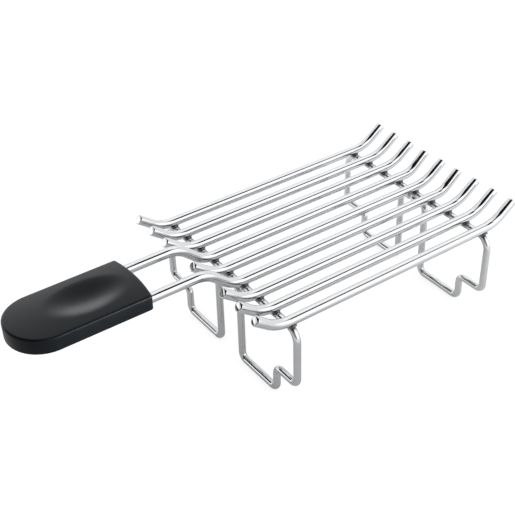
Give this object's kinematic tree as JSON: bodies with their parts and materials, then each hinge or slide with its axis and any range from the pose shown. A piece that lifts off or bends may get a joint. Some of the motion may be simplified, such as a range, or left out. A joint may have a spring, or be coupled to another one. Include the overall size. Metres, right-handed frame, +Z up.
{
  "type": "toaster warming rack",
  "caption": "Welded chrome wire rack that stands in a toaster's slots to warm buns, with turned-up rod ends and a black moulded grip.",
  "frame": {"origin": "middle of the rack's outline in plan, on the plane that its four foot bars stand on", "axes": "+X along the rods, away from the grip; +Y across the rods, towards rod_1; +Z up"},
  "size_m": [0.2774, 0.1234, 0.0758],
  "materials": {
    "wire": "bright polished",
    "grip": "satin"
  },
  "bodies": {
    "root": {"rod_1": "wire", "rod_2": "wire", "rod_3": "wire", "rod_5": "wire", "rod_7": "wire", "rod_8": "wire", "rod_9": "wire", "handle_wire": "wire", "leg_frame_handle_end": "wire", "leg_frame_far_end": "wire", "grip": "grip"}
  },
  "joints": []
}
